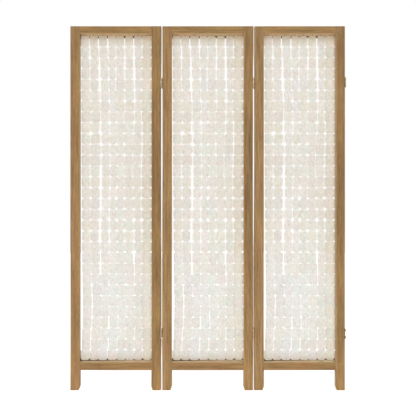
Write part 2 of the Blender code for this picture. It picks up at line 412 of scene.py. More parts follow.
def addRelief(tree, shader, height, strength, distance):
    inputs = {"Height": height, "Strength": strength, "Distance": distance}
    relief = addNode(tree, "ShaderNodeBump", inputs).outputs[0]
    tree.links.new(relief, shader.inputs["Normal"])


def newMaterial(name):
    material = bpy.data.materials.new(name)
    material.use_nodes = True
    tree = material.node_tree
    return material, tree, tree.nodes["Principled BSDF"]


def newFinish(name, group, place, values, bump, constants):
    # a material whose colour, roughness and relief come from one group
    material, tree, shader = newMaterial(name)
    for socket, value in constants.items():
        shader.inputs[socket].default_value = value
    coords = addNode(tree, "ShaderNodeTexCoord").outputs["Object"]
    inputs = {"Vector": coords, "Location": place[0], "Rotation": place[1]}
    turned = addNode(tree, "ShaderNodeMapping", inputs).outputs[0]
    surface = addNode(tree, "ShaderNodeGroup", {"Vector": turned} | values, node_tree=group)
    tree.links.new(surface.outputs["Color"], shader.inputs["Base Color"])
    tree.links.new(surface.outputs["Roughness"], shader.inputs["Roughness"])
    addRelief(tree, shader, surface.outputs["Height"], *bump)
    material.diffuse_color = shader.inputs["Base Color"].default_value
    return material


# Where a pattern starts, and how it is turned
upright = ((0, 0, 0), (0, 0, 0))
level = ((0.3, 0.1, 0.7), (0, math.radians(90), 0))

grain = buildGrain()
woodGloss = {"Specular IOR Level": 0.30, "Coat Weight": 0.04}
woodRelief = (0.35, 0.0004)


def newWood(name, direction, middle, contrast=0.24, pores=0.30, footPaintedLight=0.0, middleShade=0.0):
    values = {"Middle": screenColour(*middle), "Contrast": contrast, "Pores": pores}
    values |= {"FootPaintedLight": footPaintedLight, "MiddleShade": middleShade}
    return newFinish(name, grain, direction, values, woodRelief, woodGloss)


woods = {
    # the stiles get painted light towards their feet, strongest on the right ones
    "stile_left": newWood("oiledOakLeftStile", upright, (157, 122, 79), footPaintedLight=0.07),
    "stile_right": newWood("oiledOakRightStile", upright, (149, 115, 71), 0.26, 0.30, 0.20, 0.12),
    "rail_top": newWood("oiledOakTopRail", level, (158, 123, 75)),
    "rail_bottom": newWood("oiledOakBottomRail", level, (152, 117, 74)),
    # paler oak for the rounded arrises: wear, and a painted highlight where they turn to the light
    "worn_and_lit": newWood("rubbedOakWithPaintedHighlight", upright, (172, 138, 96), 0.12, 0.15),
    # pale oak that paints light onto the faces looking into the opening: under the top rail, on the bottom
    # rail, in the right stile
    "bare_top": newWood("oakPaintedLightUnderTopRail", level, (232, 202, 162), 0.12, 0.15),
    "bare_bottom": newWood("oakPaintedLightOnBottomRail", level, (212, 194, 164), 0.12, 0.15),
    "bare_right": newWood("oakPaintedLightInRightStile", upright, (192, 164, 130), 0.12, 0.15),
}
battenBrown = newWood("brownBatten", level, (112, 84, 52), 0.14, 0.35)

tarnish = buildTarnish()


def newBrass(name, clean, dull, metallic):
    values = {"Clean": screenColour(*clean), "Dull": screenColour(*dull), "Amount": tarnishLook["amount"]}
    return newFinish(name, tarnish, upright, values, tarnishLook["relief"], {"Metallic": metallic})


agedBrass = newBrass("agedBrass", (214, 203, 178), (178, 160, 130), 0.55)
darkBrass = newBrass("darkBrass", (202, 188, 162), (170, 152, 122), 0.6)
# a paler brass, painted light on the hinge parts that lie in shade deep in the gaps
paleBrassPaintedLight = newBrass("paleBrassPaintedLight", (232, 220, 196), (204, 186, 158), 0.4)
tackBrass = newBrass("tackBrass", (140, 116, 72), (96, 76, 44), 0.7)

pearl = buildPearl()
pearlContrast = 0.102
pearlGloss = {"Specular IOR Level": 0.42, "Coat Weight": 0.12, "Coat Roughness": 0.25}
pearlRelief = (0.22, 0.0003)


def newShellFinish(name, dim):
    # every plate brings its own tint and its own place in the pattern
    material = newFinish(name, pearl, upright, {"Contrast": pearlContrast}, pearlRelief, pearlGloss)
    tree = material.node_tree
    surface = next(node for node in tree.nodes if node.type == "GROUP")
    tint = addNode(tree, "ShaderNodeAttribute", attribute_name="shellTint").outputs["Color"]
    shift = addNode(tree, "ShaderNodeAttribute", attribute_name="shellShift").outputs["Vector"]
    tree.links.new(multiplyColours(tree, tint, dim), surface.inputs["Tint"])
    tree.links.new(shift, surface.inputs["Shift"])
    return material


threadLook = {
    "slant": (0.6, 0.6, 0),
    "bandScale": 400.0,
    "distortion": 1.5,
    "darker": (196, 180, 150),
    "lighter": (226, 215, 192),
    "roughness": 0.85,
    "relief": (0.4, 0.0002),
}


def newThreadFinish():
    # undyed cotton, with its twist as fine slanting bands
    look = threadLook
    material, tree, shader = newMaterial("cottonThread")
    shader.inputs["Roughness"].default_value = look["roughness"]
    coords = addNode(tree, "ShaderNodeTexCoord").outputs["Object"]
    slant = addNode(tree, "ShaderNodeMapping", {"Vector": coords, "Rotation": look["slant"]}).outputs[0]
    inputs = {"Vector": slant, "Scale": look["bandScale"], "Distortion": look["distortion"]}
    twist = addNode(tree, "ShaderNodeTexWave", inputs).outputs["Fac"]
    colours = (screenColour(*look["darker"]), screenColour(*look["lighter"]))
    tree.links.new(blendColours(tree, twist, *colours), shader.inputs["Base Color"])
    addRelief(tree, shader, twist, *look["relief"])
    return material


pearlShell = newShellFinish("pearlShell", (1, 1, 1, 1))
# the sides of a plate are darker, partly the shell's own edge and partly painted shade
shellEdgeWithPaintedShade = newShellFinish("shellEdgeWithPaintedShade", (0.66, 0.62, 0.55, 1))
cottonThread = newThreadFinish()
print("finishes made")


# Frame members and battens: softened copies of the solids

frameEdges = {
    "outerRound": 0.0011,
    "railRound": 0.00066,
    "innerRound": {"left": 0.0024, "right": 0.0042, "rail": 0.0024},
    "innerSteps": 3,
    "battenRound": 0.0006,
    "paintedLightEdge": {"top": 0.0054, "bottom": 0.0016},
    "paintedLightSlant": {"top": 0.0, "bottom": 0.017},
    "paintedLightDepth": -0.003,
    "sharpAngle": 32,
    "flatAngle": 0.5,
    "broadFacing": 0.995,
    "paintedLightFacing": {"rail": 0.97, "stile": 0.6},
}
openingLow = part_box("left_rail_bottom")[1].z
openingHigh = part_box("left_rail_top")[0].z

# The stiles beside the two gaps are a little bowed towards them: heights in metres, and by how many
# millimetres, after measurements of the photograph
gapBow = {
    "left_stile_right": (
        (1.81, 2.6), (1.64, 2.0), (1.57, 0.9), (1.48, 0.4), (1.06, 0.0), (0.86, 0.4),
        (0.72, 0.9), (0.64, 2.4), (0.25, 2.6), (0.20, 1.9), (0.16, 0.8), (-0.01, 0.4),
    ),
    "middle_stile_left": (
        (1.81, 0.8), (1.48, 0.2), (1.06, 0.0), (0.86, 1.2), (0.72, 1.5),
        (0.64, 2.4), (0.31, 2.4), (0.25, 3.1), (0.16, 1.7), (-0.01, 0.5),
    ),
    "middle_stile_right": (
        (1.81, 3.8), (1.67, 3.6), (1.62, 2.1), (1.57, 1.0), (1.48, 0.7), (1.37, 1.3), (1.27, 0.9),
        (1.10, 0.2), (0.93, 0.7), (0.79, 0.7), (0.65, 2.0), (0.16, 1.9), (-0.01, 0.5),
    ),
    "right_stile_left": (
        (1.81, 0.5), (1.07, 0.4), (0.93, 1.4), (0.79, 2.3), (0.72, 3.5),
        (0.65, 4.2), (0.25, 4.2), (0.07, 2.5), (-0.01, 1.3),
    ),
}
# At the lower hinges the bow is planed down to this many millimetres
hingeRecess = {"most": 1.0, "inset": 0.0015, "ramp": 0.005}
lowerHinge = [corner.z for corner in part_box("left_lower_hinge_link")]
recessFlat = (lowerHinge[0] + hingeRecess["inset"], lowerHinge[1] - hingeRecess["inset"])
recessEnds = (recessFlat[0] - hingeRecess["ramp"], recessFlat[1] + hingeRecess["ramp"])


def bowAt(bow, height):
    # the bow of a stile at a height, in metres
    for above, below in zip(bow, bow[1:]):
        if below[0] <= height <= above[0]:
            along = (above[0] - height) / (above[0] - below[0])
            shift = above[1] + (below[1] - above[1]) * along
            inRecess = min(ramp(height, *ends) for ends in zip(recessEnds, recessFlat))
            return (shift - inRecess * max(shift - hingeRecess["most"], 0.0)) / 1000
    return 0.0


def copyOfSolid(nodeName):
    # the solid with its triangles joined into whole faces again
    piece = newObject(nodeName + "_dressed", nodes[nodeName].data.copy())
    editAll(piece)
    bpy.ops.mesh.remove_doubles(threshold=samePlace)
    bpy.ops.mesh.dissolve_limited(angle_limit=math.radians(frameEdges["flatAngle"]))
    leaveEdit()
    return piece


def roundEdges(piece, width, steps=2):
    pick(piece)
    bpy.ops.object.modifier_add(type="BEVEL")
    bevel = piece.modifiers[-1]
    bevel.width = width
    bevel.segments = steps
    bevel.limit_method = "ANGLE"
    bevel.angle_limit = math.radians(frameEdges["sharpAngle"])
    bpy.ops.object.modifier_apply(modifier=bevel.name)


def paintEdges(piece, main, bare=None, paintedLightNormal=None, leastFacing=None):
    # broad faces, rounded arrises paler for wear and a painted highlight, and the face that looks into the
    # opening with painted light
    paint(piece, main, woods["worn_and_lit"], *([bare] if bare else []))
    for face in piece.data.polygons:
        broad = max(abs(axis) for axis in face.normal) > frameEdges["broadFacing"]
        face.material_index = 0 if broad else 1
        if bare and face.normal.dot(paintedLightNormal) > leastFacing:
            face.material_index = 2


def dressStile(panel, side):
    name = f"{panel}_stile_{side}"
    low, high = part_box(name)
    inner, outer = (high.x, low.x) if side == "left" else (low.x, high.x)
    piece = copyOfSolid(name)
    bow = gapBow.get(name, ())
    levels = [openingLow, openingHigh] + [height for height, shift in bow[1:-1]]
    if bow:
        levels += [*recessFlat, *recessEnds]
    for height in levels:
        cutAcross(piece, (0, 0, height), (0, 0, 1))
    for vert in piece.data.vertices:
        if near(vert.co.x, outer):
            vert.co.x += math.copysign(bowAt(bow, vert.co.z), outer - inner)

    def besideOpening(a, b):
        onArris = all(near(end.x, inner) and near(abs(end.y), high.y) for end in (a, b))
        lowest, highest = sorted((a.z, b.z))
        return onArris and lowest > openingLow - samePlace and highest < openingHigh + samePlace

    softenEdges(piece, besideOpening, frameEdges["innerRound"][side], frameEdges["innerSteps"])
    roundEdges(piece, frameEdges["outerRound"])
    weighNormals(piece)
    bare = ()
    # the right stile's inner face and arris are painted light
    if side == "right":
        bare = (woods["bare_right"], Vector((-1, 0, 0)), frameEdges["paintedLightFacing"]["stile"])
    paintEdges(piece, woods["stile_" + side], *bare)
    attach(piece, panels[panel])
    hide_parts(name)


def dressRail(panel, place):
    name = f"{panel}_rail_{place}"
    low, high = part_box(name)
    inner = low.z if place == "top" else high.z
    piece = copyOfSolid(name)
    if place == "bottom":
        cutAcross(piece, (0, frameEdges["paintedLightDepth"], 0), (0, 1, 0))

    def besideOpening(a, b):
        return all(near(end.z, inner) and near(abs(end.y), high.y) for end in (a, b))

    softenEdges(piece, besideOpening, frameEdges["innerRound"]["rail"], frameEdges["innerSteps"])
    roundEdges(piece, frameEdges["railRound"])
    weighNormals(piece)
    # the rail's face into the opening is painted light
    inward = Vector((0, 0, -1 if place == "top" else 1))
    bare = (woods["bare_" + place], inward, frameEdges["paintedLightFacing"]["rail"])
    paintEdges(piece, woods["rail_" + place], *bare)
    if place == "bottom":
        # only the back half of its top has the painted light
        for face in piece.data.polygons:
            if face.material_index == 2 and face.center.y < frameEdges["paintedLightDepth"]:
                face.material_index = 0
    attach(piece, panels[panel])
    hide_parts(name)


def dressBatten(panel, place):
    name = f"{panel}_batten_{place}"
    low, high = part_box(name)
    paintedLightEdge = frameEdges["paintedLightEdge"][place]
    paintedLightFrom = Vector((low.x, 0, high.z - paintedLightEdge if place == "top" else low.z + paintedLightEdge))
    paintedLightAcross = Vector((-frameEdges["paintedLightSlant"][place], 0, 1))
    piece = copyOfSolid(name)
    cutAcross(piece, paintedLightFrom, paintedLightAcross)
    roundEdges(piece, frameEdges["battenRound"])
    weighNormals(piece)
    # the edge next to the rail is painted light
    paint(piece, battenBrown, woods["bare_" + place])
    for face in piece.data.polygons:
        above = (face.center - paintedLightFrom).dot(paintedLightAcross) > 0
        face.material_index = 1 if above == (place == "top") else 0
    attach(piece, panels[panel])
    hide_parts(name)


for panel in panels:
    for side in ("left", "right"):
        dressStile(panel, side)
    for place in ("top", "bottom"):
        dressRail(panel, place)
        dressBatten(panel, place)
print("frames and battens dressed")


# Shell plates, threaded one under another in eight strands a panel

shellPlate = {
    "width": 0.0440,
    "height": 0.0536,
    "thickness": 0.0010,
    "cornerRadius": (0.0046, 0.0054, 0.0063, 0.0075, 0.0089, 0.0101, 0.0111, 0.0122, 0.0134, 0.0142),
    "topRadius": 0.0064,
    "bottomRadii": (0.0124, 0.0128, 0.0116, 0.0104, 0.0100, 0.0106, 0.0148, 0.0156),
    "bottomRaise": 0.0020,
    "cornerSteps": 4,
    "rimWidth": 0.0012,
    "bellyInset": 0.0046,
    "leastCorner": 0.0004,
    "bellyRise": 0.0004,
    "middleFromShare": 0.75,
    "squareness": 0.5,
    "smoothAngle": 50,
    "edgeFacing": 0.5,
    "waves": (2, 3, 5),
    "waveStart": (0, 6.28),
    "waveSize": (0.3, 1.0),
    "wobble": (0.004, 0.0024),
    "seed": 100,
    "topNumber": 50,
}


def modelShellPlate(number, radius, squareTop=False):
    # faces -Y, with its middle at the origin
    sizes = shellPlate
    luck = random.Random(sizes["seed"] + number)
    thickness = sizes["thickness"]
    deselectAll()
    bpy.ops.mesh.primitive_plane_add(size=1, rotation=(math.pi / 2, 0, 0))
    plate = bpy.context.object
    plate.name = f"shellPlate{number}"
    plate.scale = (sizes["width"], sizes["height"], 1)
    applyPlace(plate)
    editAll(plate)
    bpy.ops.mesh.bevel(offset=radius, segments=sizes["cornerSteps"], affect="VERTICES")
    bpy.ops.mesh.select_all(action="SELECT")
    bpy.ops.mesh.extrude_region_move(TRANSFORM_OT_translate={"value": (0, -thickness, 0)})
    mostInset = radius - sizes["rimWidth"] - sizes["leastCorner"]
    for inset in (sizes["rimWidth"], min(sizes["bellyInset"], mostInset)):
        bpy.ops.mesh.inset(thickness=inset, depth=0)
        bpy.ops.transform.translate(value=(0, -sizes["bellyRise"] / 2, 0))
    leaveEdit()
    # the rim is thinner than the middle, which lies past a share of the belly's rise, and is painted paler,
    # partly for the thin shell and partly as painted light
    rim = plate.data.attributes.new("rim", "FLOAT", "POINT").data
    for vert in plate.data.vertices:
        inMiddle = vert.co.y < -thickness - sizes["bellyRise"] * sizes["middleFromShare"]
        rim[vert.index].value = 0.0 if inMiddle else 1.0
    if squareTop:
        # the two upper corners are drawn out to nearly square
        straight = [sizes[side] / 2 - radius for side in ("width", "height")]
        for vert in plate.data.vertices:
            across = abs(vert.co.x) - straight[0]
            along = vert.co.z - straight[1]
            if min(across, along) > samePlace:
                away = math.hypot(across, along)
                pulled = straight[0] + away * (across / away) ** sizes["squareness"]
                vert.co.x = math.copysign(pulled, vert.co.x)
                vert.co.z = straight[1] + away * (along / away) ** sizes["squareness"]
    # no two plates are cut quite alike
    waves = []
    for times in sizes["waves"]:
        waves.append((times, luck.uniform(*sizes["waveStart"]), luck.uniform(*sizes["waveSize"])))
    for vert in plate.data.vertices:
        around = math.atan2(vert.co.z, vert.co.x)
        swell = sum(size * math.sin(times * around + start) for times, start, size in waves)
        vert.co.x *= 1 + sizes["wobble"][0] * swell
        vert.co.z *= 1 + sizes["wobble"][1] * swell
        vert.co.y += thickness / 2
    settle(plate)
    smooth(plate, sizes["smoothAngle"])
    paint(plate, pearlShell, shellEdgeWithPaintedShade)
    for face in plate.data.polygons:
        face.material_index = 1 if abs(face.normal.y) < sizes["edgeFacing"] else 0
    return plate


# Where the strands hang, in millimetres. Each line gives a row, the drift of the seven seams between
# strands, and the widths of the nine slits beside and between them. A slit below nothing is closed, with
# its plates lapped. The numbers were measured in the photograph by a program and fitted to it, then rounded.
strandHang = [
    (0, (0, 0, 3, -2, -2, -1, -4), (1.5, 2, 4, 4, -1, 3.5, 4, 1.5, 1)),
    (1, (3, 3, 4, 0, 0, 1, -4), (4, 4.5, 3.5, 4.5, 2, 3, 6, 2, 1)),
    (2, (3, 6, 6, -1, -1, 1, -4), (4.5, 2, 7.5, 1, 1, 5.5, 10, -1, 1)),
    (4, (4, 7, 9, -3, -3, 4, -8), (4.5, 0.5, 8.5, 2, 4.5, 0, 9.5, -1, 1)),
    (6, (9, 12, 14, 0, -1, 5, -9), (4.5, -1, 2, 2.5, -1, 1.5, 2.5, -1, 0.5)),
    (8, (7, 10, 15, -1, -4, 1, -4), (5, -1, 5.5, 3.5, -1, -1, 1.5, 3, 0.5)),
    (10, (6, 16, 13, 2, -4, -8, -4), (5.5, -0.5, 1.5, 1, -1, -1, 1, 3.5, 0.5)),
    (12, (4, 12, 16, 7, 1, -8, -8), (6, 1.5, 11, 1, -1, -1, 2, 2.5, 0.5)),
    (15, (7, 12, 11, 0, -3, 0, -7), (7.5, 0, 7, 1.5, -1, -1, -1, 0.5, 0.5)),
    (18, (8, 8, 10, 5, -4, 0, -4), (8, -1, 10, 4, -1, -1, 2.5, 2, 0.5)),
    (20, (10, 10, 11, 8, 0, 0, -4), (8, -1, 1, 0.5, -1, -1, 2, -1, 0.5)),
    (22, (11, 11, 10, 4, 3, 4, -6), (9, 0.5, 1, 1, -1, -1, 0.5, -1, 0.5)),
    (24, (15, 16, 12, 8, 8, 4, -9), (11, 1, -0.5, -1, 1, 1, -1, -1, 0.5)),
    (26, (12, 15, 8, 10, 8, 5, -4), (9.5, 1, -1, 1.5, 1, -1, 1, -1, 0.5)),
    (28, (5, 5, 5, 5, 3, 1, -2), (6, 1.5, -1, 2, 1, -1, 0.5, 0.5, 0.5)),
    (29, (0, 0, 1, 4, 1, 0, -2), (2, -0.5, -1, 0, -0.5, -1, -1, 0.5, 0.5)),
]

# Slits that single plates open or close, by this many millimetres: row and seam
slitChange = {
    3: ((21, 2),),
    2: ((3, 6), (15, 2), (18, 2)),
    -2: ((1, 3), (2, 6), (7, 3), (9, 2), (17, 3), (21, 1), (24, 6), (25, 7), (26, 6), (27, 4)),
    -3: ((4, 6), (11, 2), (19, 2), (22, 2), (23, 5), (24, 5), (27, 3)),
    -6: ((16, 2),),
}

strands = {
    "count": 8,
    "rows": 30,
    "frontDepth": 0.0036,
    "backDepth": 0.0053,
    "backOnes": (2, 4, 6, 8),
    "leastWidth": 0.74,
    "mostWidth": 1.22,
    "keepOff": 0.2,
    "squareTops": (1, 2, 3, 4, 8),
    "tilt": 1.3,
    "nod": 0.8,
    "lean": 0.5,
    "sway": 0.0003,
    "tallSpread": 0.005,
    "loopTurn": 0.25,
    "seed": 1000,
}
strandLow, strandHigh = [corner.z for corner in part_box("middle_strand_1")]
rowPitch = (strandHigh - strandLow) / strands["rows"]
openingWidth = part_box("middle_stile_right")[0].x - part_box("middle_stile_left")[1].x


def hangAt(row):
    # drift and slits at a row, eased between the lines above
    for above, below in zip(strandHang, strandHang[1:]):
        if above[0] <= row <= below[0]:
            along = (row - above[0]) / (below[0] - above[0])
            return [[a + (b - a) * along for a, b in zip(*pair)] for pair in zip(above[1:], below[1:])]


def changeAt(changes, place):
    # by how much a table such as slitChange or wornCorners changes a place
    return sum(change for change, places in changes.items() if place in places)


def shellEdges(strand, row):
    # middle and width of a plate, from the opening's middle; the sums are in millimetres
    drift, slits = hangAt(row)
    slits = [slit + changeAt(slitChange, (row, seam)) for seam, slit in enumerate(slits)]
    count = strands["count"]
    pitch = 1000 * openingWidth / count
    seams = [0] + [pitch * (k + 1) + shift for k, shift in enumerate(drift)] + [pitch * count]
    left = seams[strand - 1] + slits[strand - 1] / (1 if strand == 1 else 2)
    right = seams[strand] - slits[strand] / (1 if strand == count else 2)
    width = min(max(right - left, pitch * strands["leastWidth"]), pitch * strands["mostWidth"])
    # the outermost plates keep off the stiles
    middle = max((left + right) / 2, width / 2 + strands["keepOff"])
    middle = min(middle, pitch * count - width / 2 - strands["keepOff"])
    return middle / 1000 - openingWidth / 2, width / 1000


cornerFocus = 14  # the higher, the less a worn corner takes of the edges beside it

# Corners that are worn more than the rest, or less, by this many millimetres: line under a row, and seam.
# They too follow a program's measurements of the photograph, rounded
wornCorners = {
    6: ((9, 1), (10, 2)),
    5: ((9, 2),),
    4: ((4, 2), (8, 3), (17, 6)),
    3: (
        (6, 3), (6, 6), (8, 4), (11, 2), (11, 5), (14, 4), (15, 4), (17, 4), (18, 3), (18, 5), (20, 6),
    ),
    2: (
        (1, 2), (1, 3), (2, 1), (4, 3), (5, 2), (5, 6), (5, 7), (6, 5), (8, 6), (10, 4), (10, 5), (13, 1),
        (14, 2), (16, 2), (17, 2), (17, 3), (17, 7), (19, 2), (23, 5),
    ),
    1: ((2, 6), (13, 2), (20, 2), (21, 2), (24, 2), (24, 6), (27, 3), (29, 4), (29, 5), (29, 6)),
    -1: ((18, 1), (20, 3), (21, 1), (21, 3), (22, 3), (25, 2), (25, 4)),
    -2: ((2, 2), (3, 1), (3, 6), (4, 5), (7, 5), (8, 5), (12, 5), (16, 1), (17, 1), (19, 7)),
    -3: ((7, 2), (10, 6), (12, 6), (20, 1), (20, 7)),
}


def wearCorners(mesh, row, strand, centre, width, height):
    # only the points near a plate's diagonals move, towards its middle or away from it
    for vert in mesh.vertices:
        across = (vert.co.x - centre.x) / (width / 2)
        along = (vert.co.z - centre.z) / (height / 2)
        line = row if along > 0 else row + 1
        seam = strand if across > 0 else strand - 1
        share = (2 * abs(across * along) / (across ** 2 + along ** 2)) ** cornerFocus
        inward = Vector((centre.x - vert.co.x, 0, centre.z - vert.co.z)).normalized()
        vert.co += inward * changeAt(wornCorners, (line, seam)) / 1000 * share


# Bands of rows, by their first one. The plates are shortest a third of the way down and nearly touch
# further down, and they are roundest half way down: shares of their height, and which patterns they take
bandHeights = {0: 0.997, 9: 0.990, 10: 0.978, 12: 1.000, 19: 1.004}
bandPatterns = {0: (4, 8), 11: (3, 7), 14: (7, 10), 20: (1, 4), 23: (0, 4)}


def bandAt(bands, row):
    return bands[max(first for first in bands if first <= row)]


# Tints of single plates, and how often each comes
shellTints = {
    (232, 227, 216.5): 5,
    (234, 227, 217.5): 2,
    (230, 228, 216.5): 2,
    (233, 228, 214.5): 2,
    (231, 226, 218.5): 1,
}

# Lighter and darker strands, the last two darkest with painted shade from the right stile, and such rows, in
# levels of 255
strandLift = (0, -2.5, 0, 2, 0.5, -0.5, -3, -9.5)
rowLift = {1: 1.5, 7: -1.5, 11: -2, 12: -2, 13: -2, 17: -1.5, 21: 1.5, 22: 1.5, 23: 2.5, 24: 1.5}

shellLook = {
    "lift": (-3.9, 2.7),
    "liftShares": (0.85, 1.0, 1.2),
    "endPaintedShade": 3.5,
    "topEnd": (0.11, 0.07),  # a ramp over the height
    "bottomEnd": (0.91, 0.94),
    "whiterShares": (-0.5, 1.2, 4.0),
    "whiterBelow": (0.62, 0.76),
    "whiterMiddle": (0.5, 0.1),  # a ramp over half the width
    "whiterMiddleShare": 0.5,
    "middleShift": 0.2,
    "rightPaintedBounce": (0.7, 0.87),
    "rightPaintedBounceShare": 0.8,
    "rimPaleAndLit": 7,
    "rimLuck": (0.3, 1.5),
    "rimBelow": 0.33,
    "rimBelowShare": 0.7,
    "slitLift": 19,
    "slitReach": 0.024,
    "patternShift": 3,
}


def tintShell(mesh, strand, row, across, luck):
    # colour and pattern offset of one plate, kept with its points; across runs from -1 to 1
    look = shellLook
    down = (row + 0.5) / strands["rows"]
    colour = luck.choices(list(shellTints), shellTints.values())[0]
    lift = luck.uniform(*look["lift"]) + strandLift[strand - 1] + rowLift.get(row, 0)
    # the plates at both ends are darker with painted shade from the rails, the low and the middle ones are
    # whiter, and the right ones yellower with painted light reflected from the right stile
    lift -= look["endPaintedShade"] * max(ramp(down, *look["topEnd"]), ramp(down, *look["bottomEnd"]))
    pale = ramp(down, *look["whiterBelow"])
    pale += look["whiterMiddleShare"] * ramp(abs(across + look["middleShift"]), *look["whiterMiddle"])
    pale -= look["rightPaintedBounceShare"] * ramp(across, *look["rightPaintedBounce"])
    shares = zip(colour, look["liftShares"], look["whiterShares"])
    colour = [value + lift * part + change * pale for value, part, change in shares]
    # paler rims: partly the thin shell, partly painted light
    rimPaleAndLit = look["rimPaleAndLit"] * luck.uniform(*look["rimLuck"])
    rimPaleAndLit *= look["rimBelowShare"] if down > look["rimBelow"] else 1.0
    shift = tuple(luck.uniform(-1, 1) * look["patternShift"] for axis in range(3))
    tints = []
    for vert, point in zip(mesh.vertices, mesh.attributes["rim"].data):
        # the outer half of the last plates is lit through the slit beside them
        beside = ramp(vert.co.x, openingWidth / 2 - look["slitReach"], openingWidth / 2)
        added = rimPaleAndLit * point.value + look["slitLift"] * beside
        tints.extend(screenColour(*[value + added for value in colour]))
    mesh.attributes.remove(mesh.attributes["rim"])
    mesh.color_attributes.new("shellTint", "FLOAT_COLOR", "POINT").data.foreach_set("color", tints)
    places = shift * len(mesh.vertices)
    mesh.attributes.new("shellShift", "FLOAT_VECTOR", "POINT").data.foreach_set("vector", places)


threadTie = {
    "ringHeight": 0.0043,
    "ringDepth": 0.0011,
    "ringSteps": 12,
    "threadSides": 5,
    "smoothAngle": 60,
    "thread": 0.00038,
    "tackRadius": 0.0021,
    "tackDome": 0.5,
    "tackSides": 12,
    "tackSmoothAngle": 40,
    "tackDrop": 0.0030,
    "tackDepth": -0.0015,
    "tackBefore": 0.0012,
    "deepTacks": (3, 4, 5, 6),
    "shankLength": 0.0040,
    "shankRadius": 0.0006,
    "shankRound": 0.0001,
    "shankSides": 8,
}


def modelRing():
    # the loop of thread that ties one plate to the next
    tie = threadTie
    deselectAll()
    bpy.ops.mesh.primitive_torus_add(
        major_segments=tie["ringSteps"],
        minor_segments=tie["threadSides"],
        major_radius=1.0,
        minor_radius=tie["thread"] / tie["ringDepth"],
        rotation=(0, math.pi / 2, 0),
    )
    ring = bpy.context.object
    ring.name = "threadRing"
    applyPlace(ring)
    # the round section stays about as thick all the way round the long loop
    for vert in ring.data.vertices:
        swell = (math.hypot(vert.co.y, vert.co.z) - 1.0) * tie["ringDepth"]
        angle = math.atan2(vert.co.z, vert.co.y)
        vert.co.x *= tie["ringDepth"]
        vert.co.y = math.cos(angle) * (tie["ringDepth"] + swell)
        vert.co.z = math.sin(angle) * (tie["ringHeight"] + swell)
    settle(ring)
    smooth(ring, tie["smoothAngle"])
    paint(ring, cottonThread)
    return ring


def modelTack():
    # a domed tack driven up into the rail, its head at the origin and its shank above
    tie = threadTie
    shank = addRod(0, 0, 0, tie["shankLength"], tie["shankRadius"], tie["shankSides"], tie["shankRound"], 1)
    deselectAll()
    sides = tie["tackSides"]
    bpy.ops.mesh.primitive_uv_sphere_add(segments=sides, ring_count=sides // 2, radius=tie["tackRadius"])
    head = bpy.context.object
    editAll(head)
    bpy.ops.mesh.bisect(plane_co=(0, 0, 0), plane_no=(0, 0, 1), use_fill=True, clear_outer=True)
    leaveEdit()
    head.scale = (1, 1, tie["tackDome"])
    settle(head)
    return finishAs("strandTack", [shank, head], tie["tackSmoothAngle"], tackBrass)


plates = [modelShellPlate(k, radius) for k, radius in enumerate(shellPlate["cornerRadius"])]
topPlate = modelShellPlate(shellPlate["topNumber"], shellPlate["topRadius"], squareTop=True)
bottomRadii = enumerate(shellPlate["bottomRadii"], shellPlate["topNumber"] + 1)
bottomPlates = [modelShellPlate(k, radius, squareTop=True) for k, radius in bottomRadii]
ring = modelRing()
tack = modelTack()
print("shell plate, thread loop and tack modelled")


def threadStrand(strand):
    # one strand with its ties, drawn about the middle of a panel
    luck = random.Random(strands["seed"] + strand)
    depth = strands["backDepth"] if strand in strands["backOnes"] else strands["frontDepth"]
    parts = []
    middles = []
    for row in range(strands["rows"]):
        middle, width = shellEdges(strand, row)
        plate = luck.choice(plates[slice(*bandAt(bandPatterns, row))])
        if row == 0 and strand in strands["squareTops"]:
            plate = topPlate
        raised = 0
        if row == strands["rows"] - 1:
            plate = bottomPlates[strand - 1]
            raised = shellPlate["bottomRaise"]
        centre = Vector((middle, depth, strandHigh - (row + 0.5) * rowPitch + raised / 2))
        sway = luck.uniform(-1, 1) * strands["sway"]
        turns = Matrix.Identity(4)
        for key, axis in (("tilt", "Z"), ("nod", "X"), ("lean", "Y")):
            turns @= Matrix.Rotation(math.radians(luck.uniform(-1, 1) * strands[key]), 4, axis)
        flip = 1 if plate == topPlate or raised else luck.choice((-1, 1))
        tall = bandAt(bandHeights, row) + luck.uniform(-1, 1) * strands["tallSpread"]
        tall -= raised / shellPlate["height"]
        size = Matrix.Diagonal((width / shellPlate["width"], 1, tall, 1))
        turnOver = Matrix.Rotation(math.pi if flip < 0 else 0, 4, "Y")
        place = Matrix.Translation(centre + Vector((sway, 0, 0))) @ turns @ size @ turnOver
        shell = copyAs("shell", plate, place)
        wearCorners(shell.data, row, strand, centre, width, rowPitch)
        tintShell(shell.data, strand, row, 2 * middle / openingWidth, luck)
        parts.append(shell)
        middles.append(centre.x + sway)
    # loops between the plates, and one at each end
    ends = [middles[0]] + [(a + b) / 2 for a, b in zip(middles, middles[1:])] + [middles[-1]]
    for row, x in enumerate(ends):
        turn = Matrix.Rotation(luck.uniform(-1, 1) * strands["loopTurn"], 4, "Z")
        place = Matrix.Translation((x, depth, strandHigh - row * rowPitch))
        parts.append(copyAs("loop", ring, place @ turn))
    tackDepth = depth - threadTie["tackBefore"]
    if strand in threadTie["deepTacks"]:
        tackDepth = threadTie["tackDepth"]
    place = Matrix.Translation((ends[0], tackDepth, openingHigh - threadTie["tackDrop"]))
    parts.append(copyAs("tack", tack, place))
    parts.reverse()
    return joinAs(f"strand{strand}", parts)


for strand in range(1, strands["count"] + 1):
    hung = threadStrand(strand)
    for panel, body in panels.items():
        low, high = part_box(f"{panel}_rail_top")
        place = Matrix.Translation(((low.x + high.x) / 2, 0, 0))
        piece = copyAs(f"{panel}_strand_{strand}_dressed", hung, place)
        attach(piece, body)
        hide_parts(f"{panel}_strand_{strand}")
    bpy.data.objects.remove(hung)
for pattern in plates + bottomPlates + [topPlate, ring, tack]:
    bpy.data.objects.remove(pattern)
print("strands hung")


# Hinges: two leaves and a link, with round knuckles, pins and screws

